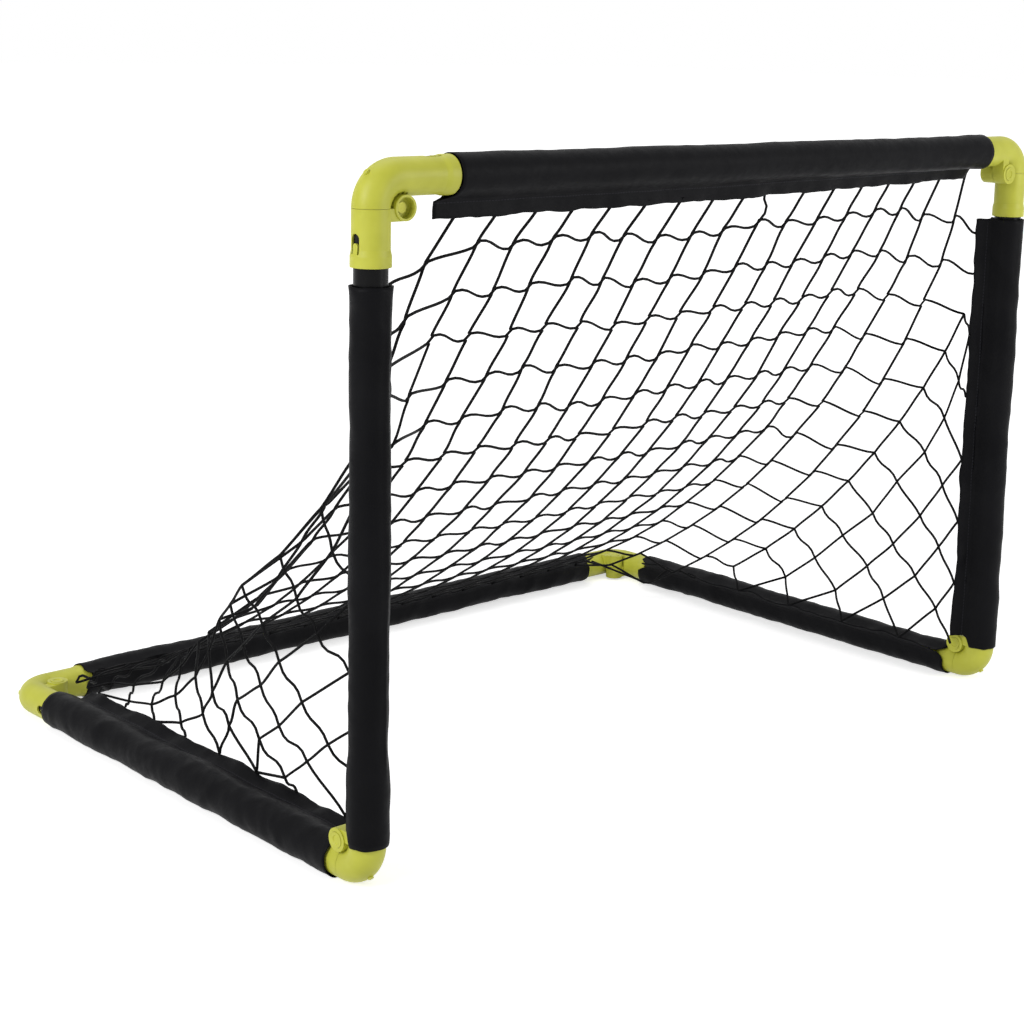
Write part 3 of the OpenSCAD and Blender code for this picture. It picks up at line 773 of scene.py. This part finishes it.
def lay_down(grid, column):
    """One cord down the back, from the crossbar's hem to the rear hem or to the left edge."""
    cord = Cord()
    for r in range(ROWS):
        top, low = grid[(column, r)], grid[(column, r + 1)]
        sewn = column == 0 and r in SEWN_ROWS and r + 1 in SEWN_ROWS
        if sewn or (r and top == grid[(-1, r)]):
            continue
        start = beside(grid, column, r, -1, 1) if r else top + INTO_BAR_HEM
        if low == grid[(-1, r + 1)]:
            end = low
        elif r == ROWS - 1:
            end = low + INTO_REAR_HEM
        else:
            end = beside(grid, column, r + 1, 1, -1)
        if column == LOOSE_COLUMN and r == 0:
            loose = [low + Vector((x * MM, -LOOSE_FORWARD, z * MM)) for x, z in LOOSE_BAR]
            cord.stretch(group_of(r), loose + [end])
        else:
            cord.bar(group_of(r), start, end, RIGHT * draw.uniform(*COLUMN_LEAN))
    return cord.runs


def lay_across(grid, row):
    """One cord across the back, from edge to edge."""
    cord = Cord()
    for c in range(-1, COLUMNS):
        a, b = grid[(c, row)], grid[(c + 1, row)]
        if a == b or (c == -1 and row in SEWN_ROWS):
            continue
        start = a if a == grid[(-1, row)] else beside(grid, c, row, 1, 1)
        end = beside(grid, c + 1, row, -1, -1) if c + 1 < COLUMNS else b
        up = (run_at(grid, c, row) + run_at(grid, c + 1, row)) / 2
        cord.bar(group_of(row), start, end, up * draw.uniform(*ROW_LEAN))
    return cord.runs


def lay_back():
    """Cords of the back, as (group of rows, points)."""
    grid = {(c, r): joint(c, r) for c in range(-1, COLUMNS + 1) for r in range(ROWS + 1)}
    down = [run for c in range(COLUMNS) for run in lay_down(grid, c)]
    return down + [run for r in range(1, ROWS) for run in lay_across(grid, r)]


def ruling(side, row):
    """Start and end of a side panel's line: from the edge of the back to the hem it falls to."""
    if row > ROWS:
        start = at(-RUN_IN_X - REAR_LINE_STEP * (row - ROWS), *REAR_HEM)
    else:
        start = edge_joint(side, row)
    depth, height = start.y - MOUTH_Y, start.z - RAIL_Z
    fall = height - RAIL_HEM_Z
    reach = depth - fall * SIDE_RUN[side][0] - RUN_MORE * max(0.0, RAIL_HEM_X - abs(start.x))
    if reach > POST_HEM_Y:
        return start, at(side * RAIL_HEM_X, reach, RAIL_HEM_Z)
    share = (depth - POST_HEM_Y) / (depth - reach)
    return start, at(side * POST_HEM_X, POST_HEM_Y, height - fall * share)


def side_joints(side, row, start, end):
    """Joints on a side panel's line, by the number of the cord that crosses it there."""
    span = end - start
    over = clamp((row - OVER_ROW) / 2, 0.0, OVER_MOST) if side < 0 else 0.0
    joints = {}
    for number in CROSSINGS:
        run = (number + over) * SIDE_RUN[side][1]
        if run < 0 or run > max(0.0, span.length - LAST_JOINT):
            continue
        place = start + span.normalized() * run
        if run:
            place += Vector([spread(STRAY_SIDE) for way in range(3)])
            share = run / span.length
            place.x = side * min(abs(place.x) + 4 * SIDE_BULGE * share * (1 - share), HALF_W,
                                 POST_HEM_X + BULGE_BY_POST * (place.y - MOUTH_Y - POST_HEM_Y))
        joints[number] = place
    return joints


def crossing(number, rows, joints, ends):
    """The joints that a cord passes on its way across the lines of a side panel."""
    passed = []
    for i, r in enumerate(rows):
        if number in joints[r]:
            if not passed and number > 0 and i:
                passed.append(ends[rows[i - 1]])
            passed.append(joints[r][number])
        elif passed:
            passed.append(ends[r])
            break
    return passed


def lay_side(side):
    """Cords of one side panel: down and forward from the edge of the back, and across those."""
    rows = [r for r in range(FIRST_SIDE_ROW, ROWS + 1) if side < 0 or is_free(edge_point(side, r))]
    if side < 0:
        rows += range(ROWS + 1, ROWS + 1 + REAR_LINES)
    cords, joints, ends = [], {}, {}
    for r in rows:
        start, ends[r] = ruling(side, r)
        joints[r] = side_joints(side, r, start, ends[r])
        own = list(joints[r].values())
        if not own or (own[0] - start).length > TOUCHING:
            own.insert(0, start)
        cords.append(run_of_bars(own + [ends[r]], lambda: Vector((0, 0, -draw.uniform(*SIDE_LEAN)))))
    for number in CROSSINGS:
        lean = draw.uniform(*CROSS_LEAN)
        passed = crossing(number, rows, joints, ends)
        if len(passed) > 1:
            cords.append(run_of_bars(passed, lambda: Vector((0, lean * draw.choice((-1, 1)), 0))))
    return cords


def run_of_bars(points, lean_of):
    """A cord through these joints, slack between them."""
    line = [points[0]]
    for p, q in zip(points, points[1:]):
        line += bend(p, q, lean_of()) + [q]
    return line


# ---- pieces of wire and twine ----

def round_wire(name, lines, radius, material, sides=1):
    """One object of all these lines, as round wire or twine."""
    curve = bpy.data.curves.new(name, "CURVE")
    curve.dimensions = "3D"
    curve.bevel_depth = radius
    curve.bevel_resolution = sides
    curve.use_fill_caps = True
    for points in lines:
        spline = curve.splines.new("POLY")
        spline.points.add(len(points) - 1)
        spline.points.foreach_set("co", [x for p in points for x in (*p, 1.0)])
    piece = bpy.data.objects.new(name, curve)
    bpy.context.scene.collection.objects.link(piece)
    only(piece)
    bpy.ops.object.convert(target="MESH")
    piece = bpy.context.view_layer.objects.active
    bpy.ops.object.shade_smooth()
    piece.data.materials.clear()
    piece.data.materials.append(material)
    return piece


def twine(name, lines):
    return round_wire(name, lines, STRAND_R, CORD)


def fold_net(piece):
    """Bakes the placement of a group of rows into its mesh."""
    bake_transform(piece)


def make_net():
    cords = lay_back()
    for group, name in enumerate(GROUP_NAMES):
        piece = twine(name, [points for g, points in cords if g == group])
        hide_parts("back_net")
        fold_net(piece)
    for side, name in ((-1, "left"), (1, "right")):
        panel = twine(name + "_side_netting", lay_side(side))
        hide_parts(name + "_side_net")
        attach(panel, "ground_frame")
        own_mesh(panel)


# ---- button springs ----

SPRING_TURNS, SPRING_STEPS, SPRING_WIRE_R, SPRING_SIDES = 5, 20, 0.6 * MM, 2


def coil(centre, half, axis, k):
    """A helix along an axis, the k-th, that fills a box of these half sizes."""
    ring = max(half[i] for i in range(3) if i != k) - SPRING_WIRE_R
    rise = half[k] - SPRING_WIRE_R
    side = Vector([float(i == (k + 1) % 3) for i in range(3)])
    third = axis.cross(side)
    line = []
    for i in range(SPRING_TURNS * SPRING_STEPS + 1):
        turn = 2 * math.pi * i / SPRING_STEPS
        share = i / (SPRING_TURNS * SPRING_STEPS)
        line.append(centre + ring * (side * math.cos(turn) + third * math.sin(turn))
                    + axis * rise * (2 * share - 1))
    return line


def make_springs():
    """A coil under each button."""
    for press in frame["joints"]:
        if not press["name"].endswith("_press"):
            continue
        name = press["name"].replace("_press", "_spring")
        low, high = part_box(name)
        centre, half = (low + high) / 2, (high - low) / 2
        axis = Vector(press["axis"])
        k = max(range(3), key=lambda i: abs(axis[i]))
        piece = round_wire(name + "_coil", [coil(centre, half, axis, k)], SPRING_WIRE_R, ZINC,
                           SPRING_SIDES)
        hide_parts(name)
        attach(piece, press["parent"])
        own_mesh(piece)


# ---- floor, light and camera ----

FLOOR_SIZE = 60
# light of its own that the floor shows: least near the object, where its shadow lies, and full far off
FLOOR_LIFT, LIFT_FROM, LIFT_TO = 0.6, 1.0, 3.0
WORLD_FILL = 0.26
KEY_POWER = 68
# place, aim, width and share of the key's power of each lamp
LAMPS = {
    "key": ((-3.2, -0.4, 1.9), (0, 0, 0.3), 1.8, 1.0),
    "fill": ((1.0, -2.0, 0.9), (0.3, 0, 0.2), 1.2, 0.26),
    "top": ((0.3, 0.6, 3.2), (0, 0, 0.2), 2.4, 0.35),
}

CAMERA_AT = (-1.4093, -1.5399, 0.7183)
CAMERA_AZIMUTH, CAMERA_ELEVATION, CAMERA_ROLL = -42.57, 10.82, 1.20
CAMERA_LENS, CAMERA_SENSOR = 69.55, 36
CAMERA_SHIFT = (-0.0161, -0.0996)


def seen_by(tree, *kinds):
    """1 for rays of these kinds and 0 for others."""
    rays = node(tree, "ShaderNodeLightPath")
    seen = rays.outputs[kinds[0]]
    for kind in kinds[1:]:
        seen = node(tree, "ShaderNodeMath", {"operation": "MAXIMUM"},
                    {0: seen, 1: rays.outputs[kind]}).outputs[0]
    return seen


def plain_floor():
    """Pale studio floor. Light of its own, only in direct view and in gloss, lifts it to white."""
    material, tree, shader = new_material("studio_floor")
    place = node(tree, "ShaderNodeTexCoord").outputs["Object"]
    away = node(tree, "ShaderNodeVectorMath", {"operation": "LENGTH"}, {0: place})
    level = node(tree, "ShaderNodeMapRange",
                 {"From Min": LIFT_FROM, "From Max": LIFT_TO, "To Min": FLOOR_LIFT, "To Max": 1.0},
                 {"Value": away.outputs["Value"]})
    lift = node(tree, "ShaderNodeMath", {"operation": "MULTIPLY"},
                {0: seen_by(tree, "Is Camera Ray", "Is Glossy Ray"), 1: level.outputs[0]})
    set_up(tree, shader,
           {"Base Color": srgb("#F2F2F2"), "Roughness": 0.9, "Specular IOR Level": 0.0,
            "Emission Color": srgb("#FFFFFF")},
           {"Emission Strength": lift.outputs[0]})
    bpy.ops.object.select_all(action="DESELECT")
    bpy.ops.mesh.primitive_plane_add(size=FLOOR_SIZE, location=(0, 0, 0))
    floor = bpy.context.object
    floor.name = "studio_floor"
    floor.data.materials.append(material)


def softbox(name, place, aim, width, share):
    lamp = bpy.data.lights.new(name, "AREA")
    lamp.shape = "DISK"
    lamp.size = width
    lamp.energy = KEY_POWER * share
    holder = bpy.data.objects.new(name, lamp)
    holder.location = place
    holder.rotation_euler = (Vector(aim) - Vector(place)).to_track_quat("-Z", "Y").to_euler()
    bpy.context.scene.collection.objects.link(holder)


def studio_light():
    """Three soft lamps in a white room that lights the goal only a little itself."""
    world = bpy.data.worlds.new("studio")
    bpy.context.scene.world = world
    world.use_nodes = True
    tree = world.node_tree
    level = node(tree, "ShaderNodeMapRange", {"To Min": WORLD_FILL, "To Max": 1.0},
                 {"Value": seen_by(tree, "Is Camera Ray", "Is Glossy Ray", "Is Transmission Ray")})
    set_up(tree, tree.nodes["Background"], {"Color": srgb("#FFFFFF")}, {"Strength": level.outputs[0]})
    for name, settings in LAMPS.items():
        softbox(name, *settings)


def set_camera():
    az, el, roll = (math.radians(a) for a in (CAMERA_AZIMUTH, CAMERA_ELEVATION, CAMERA_ROLL))
    forward = Vector((-math.sin(az) * math.cos(el), math.cos(az) * math.cos(el), -math.sin(el)))
    level = Vector((math.cos(az), math.sin(az), 0))
    over = level.cross(forward)
    right = level * math.cos(roll) + over * math.sin(roll)
    up = over * math.cos(roll) - level * math.sin(roll)
    lens = bpy.data.cameras.new("camera")
    lens.lens, lens.sensor_width = CAMERA_LENS, CAMERA_SENSOR
    lens.shift_x, lens.shift_y = CAMERA_SHIFT
    camera = bpy.data.objects.new("camera", lens)
    camera.matrix_world = Matrix([
        [right[i], up[i], -forward[i], CAMERA_AT[i]] for i in range(3)] + [[0, 0, 0, 1]])
    bpy.context.scene.collection.objects.link(camera)
    bpy.context.scene.camera = camera


set_camera()
bpy.context.scene.view_settings.view_transform = "Standard"
dress_frame()
make_sleeves()
make_net()
make_springs()
plain_floor()
studio_light()
